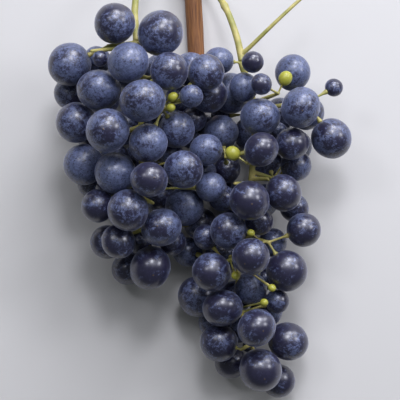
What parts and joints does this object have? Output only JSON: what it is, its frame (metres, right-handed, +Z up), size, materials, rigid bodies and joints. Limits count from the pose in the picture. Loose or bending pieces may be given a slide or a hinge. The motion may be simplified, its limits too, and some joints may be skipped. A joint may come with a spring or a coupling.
{
  "type": "grapevine cane with two bunches of grapes",
  "caption": "Cut length of grapevine cane with bunches of ripe blue-black grapes on green stalks, lying on its back.",
  "frame": {"origin": "under the middle of the whole piece, on the surface that it lies on", "axes": "+X across both bunches to the right as seen from above, +Y from the tips of the bunches to the cane's upper cut, +Z up from the surface that it lies on, towards the side of the bunches that the picture shows"},
  "size_m": [0.1376, 0.231, 0.0695],
  "materials": {
    "berry_skin": "blue-black grape skin under a grey-blue waxy bloom, rubbed dark in patches",
    "green_stalk": "smooth yellow-green stalk with small brown specks",
    "cane_bark": "reddish brown ripened cane with fine lengthwise ridges"
  },
  "bodies": {
    "root": {"cane": "cane_bark", "left_peduncle": "green_stalk", "left_stalk": "green_stalk", "left_berry_01": "berry_skin", "left_berry_02": "berry_skin", "left_berry_03": "berry_skin", "left_berry_04": "berry_skin", "left_berry_05": "berry_skin", "left_berry_06": "berry_skin", "left_berry_07": "berry_skin", "left_berry_08": "berry_skin", "left_berry_09": "berry_skin", "left_berry_10": "berry_skin", "left_berry_11": "berry_skin", "left_berry_12": "berry_skin", "left_berry_13": "berry_skin", "left_berry_14": "berry_skin", "left_berry_15": "berry_skin", "left_berry_16": "berry_skin", "left_berry_17": "berry_skin", "left_berry_18": "berry_skin", "left_berry_19": "berry_skin", "left_berry_20": "berry_skin", "left_berry_21": "berry_skin", "left_berry_22": "berry_skin", "left_cluster_1": "berry_skin", "left_cluster_2": "berry_skin", "left_cluster_3": "berry_skin", "right_peduncle": "green_stalk", "right_stalk": "green_stalk", "right_berry_01": "berry_skin", "right_berry_02": "berry_skin", "right_berry_03": "berry_skin", "right_berry_04": "berry_skin", "right_berry_05": "berry_skin", "right_berry_06": "berry_skin", "right_berry_07": "berry_skin", "right_berry_08": "berry_skin", "right_berry_09": "berry_skin", "right_berry_10": "berry_skin", "right_berry_11": "berry_skin", "right_berry_12": "berry_skin", "right_berry_13": "berry_skin", "right_berry_14": "berry_skin", "right_berry_15": "berry_skin", "right_berry_16": "berry_skin", "right_berry_17": "berry_skin", "right_berry_18": "berry_skin", "right_berry_19": "berry_skin", "right_berry_20": "berry_skin", "right_berry_21": "berry_skin", "right_berry_22": "berry_skin", "right_cluster_1": "berry_skin", "right_cluster_2": "berry_skin", "right_cluster_3": "berry_skin", "right_cluster_4": "berry_skin"}
  },
  "joints": []
}
